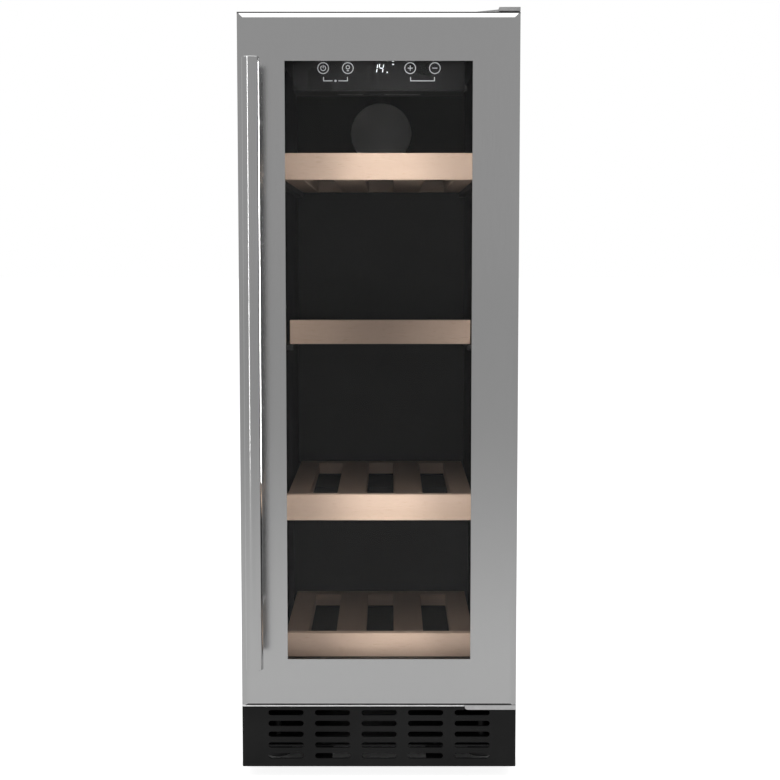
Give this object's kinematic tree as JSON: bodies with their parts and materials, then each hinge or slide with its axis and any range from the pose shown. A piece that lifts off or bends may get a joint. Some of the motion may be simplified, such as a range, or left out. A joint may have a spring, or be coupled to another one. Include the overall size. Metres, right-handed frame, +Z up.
{
  "type": "wine cooler",
  "caption": "Slim built-in wine cooler with a right-hinged stainless glass door, bar handle, beech shelves, touch panel and slotted black plinth.",
  "frame": {"origin": "on the floor, under the middle of the whole box, handle included", "axes": "+X to the viewer's right, +Y towards the back, +Z up; the door faces -Y"},
  "size_m": [0.295, 0.627, 0.82],
  "materials": {
    "stainless": "fine brushed",
    "handle_steel": "satin",
    "hinge_steel": "bright zinc",
    "zinc_steel": "zinc plated",
    "spacer_metal": "dark anodised",
    "tinted_glass": "smoke tinted, clear",
    "black_plastic": "fine grained",
    "seal_rubber": "matt",
    "bush_nylon": "smooth",
    "plinth_black": "satin",
    "cabinet_black": "satin powder coat",
    "galvanised_steel": "galvanised",
    "foam": "closed cell",
    "liner_black": "satin",
    "filter_grey": "satin",
    "coil_aluminium": "dark coated",
    "fan_black": "satin",
    "probe_grey": "smooth",
    "compressor_black": "gloss enamel",
    "mount_rubber": "matt",
    "tray_grey": "smooth",
    "copper_pipe": "drawn copper",
    "inlet_black": "smooth",
    "fascia_black": "gloss",
    "key_white": "backlit print",
    "display_white": "lit segments",
    "board_green": "solder mask",
    "light_grey": "frosted",
    "beech": "light oiled beech",
    "foot_black": "moulded"
  },
  "bodies": {
    "cabinet": {"top_hinge_plate": "hinge_steel", "bottom_hinge_plate": "hinge_steel", "hinge_pins": "zinc_steel", "hinge_screws": "zinc_steel", "plinth_grille": "plinth_black", "plinth_trim": "hinge_steel", "plinth_screws": "zinc_steel", "outer_wrapper": "cabinet_black", "back_panel": "galvanised_steel", "rear_vent_cover": "galvanised_steel", "rear_screws": "zinc_steel", "base_plate": "galvanised_steel", "machine_room_cover": "galvanised_steel", "insulation_foam": "foam", "inner_liner": "liner_black", "front_frame": "cabinet_black", "duct_panel": "liner_black", "filter_cover": "filter_grey", "evaporator": "coil_aluminium", "duct_fan_frame": "fan_black", "temperature_probe": "probe_grey", "compressor": "compressor_black", "compressor_mounts": "mount_rubber", "drip_tray": "tray_grey", "condenser": "coil_aluminium", "condenser_fan_frame": "fan_black", "suction_pipe": "copper_pipe", "discharge_pipe": "copper_pipe", "power_inlet": "inlet_black", "control_housing": "liner_black", "control_fascia": "fascia_black", "touch_key_marks": "key_white", "display_digits": "display_white", "control_board": "board_green", "light_lens": "light_grey"},
    "door": {"door_skin": "stainless", "door_core": "black_plastic", "outer_glass": "tinted_glass", "inner_glass": "tinted_glass", "glass_spacer": "spacer_metal", "door_inner_frame": "black_plastic", "door_gasket": "seal_rubber", "handle_tube": "handle_steel", "handle_posts": "handle_steel", "handle_screws": "zinc_steel", "hinge_bushes": "bush_nylon"},
    "top_shelf": {"top_shelf_rail": "beech", "top_shelf_slats": "beech"},
    "middle_shelf": {"middle_shelf_rail": "beech", "middle_shelf_slats": "beech"},
    "lower_shelf": {"lower_shelf_rail": "beech", "lower_shelf_slats": "beech"},
    "bottom_shelf": {"bottom_shelf_rail": "beech", "bottom_shelf_slats": "beech"},
    "duct_fan": {"duct_fan_rotor": "fan_black"},
    "condenser_fan": {"condenser_fan_rotor": "fan_black"},
    "foot_front_left": {"foot_front_left": "foot_black"},
    "foot_front_right": {"foot_front_right": "foot_black"},
    "foot_rear_left": {"foot_rear_left": "foot_black"},
    "foot_rear_right": {"foot_rear_right": "foot_black"}
  },
  "joints": [
    {"name": "door_hinge", "type": "hinge", "parent": "cabinet", "child": "door", "pos_m": [0.1385, -0.2435, 0.44775], "axis": [0, 0, 1], "range_deg": [0, 110]},
    {"name": "top_shelf_slide", "type": "slide", "parent": "cabinet", "child": "top_shelf", "axis": [0, -1, 0], "range_m": [0, 0.024]},
    {"name": "middle_shelf_slide", "type": "slide", "parent": "cabinet", "child": "middle_shelf", "axis": [0, -1, 0], "range_m": [0, 0.024]},
    {"name": "lower_shelf_slide", "type": "slide", "parent": "cabinet", "child": "lower_shelf", "axis": [0, -1, 0], "range_m": [0, 0.024]},
    {"name": "bottom_shelf_slide", "type": "slide", "parent": "cabinet", "child": "bottom_shelf", "axis": [0, -1, 0], "range_m": [0, 0.024]},
    {"name": "duct_fan_spin", "type": "hinge", "parent": "cabinet", "child": "duct_fan", "pos_m": [0, 0.2225, 0.618], "axis": [0, 1, 0], "continuous": true},
    {"name": "condenser_fan_spin", "type": "hinge", "parent": "cabinet", "child": "condenser_fan", "pos_m": [-0.064, 0.222, 0.083], "axis": [1, 0, 0], "continuous": true},
    {"name": "foot_front_left_turn", "type": "hinge", "parent": "cabinet", "child": "foot_front_left", "pos_m": [-0.1155, -0.1675, 0.01], "axis": [0, 0, 1], "continuous": true},
    {"name": "foot_front_right_turn", "type": "hinge", "parent": "cabinet", "child": "foot_front_right", "pos_m": [0.1155, -0.1675, 0.01], "axis": [0, 0, 1], "continuous": true},
    {"name": "foot_rear_left_turn", "type": "hinge", "parent": "cabinet", "child": "foot_rear_left", "pos_m": [-0.1155, 0.2785, 0.01], "axis": [0, 0, 1], "continuous": true},
    {"name": "foot_rear_right_turn", "type": "hinge", "parent": "cabinet", "child": "foot_rear_right", "pos_m": [0.1155, 0.2785, 0.01], "axis": [0, 0, 1], "continuous": true}
  ]
}
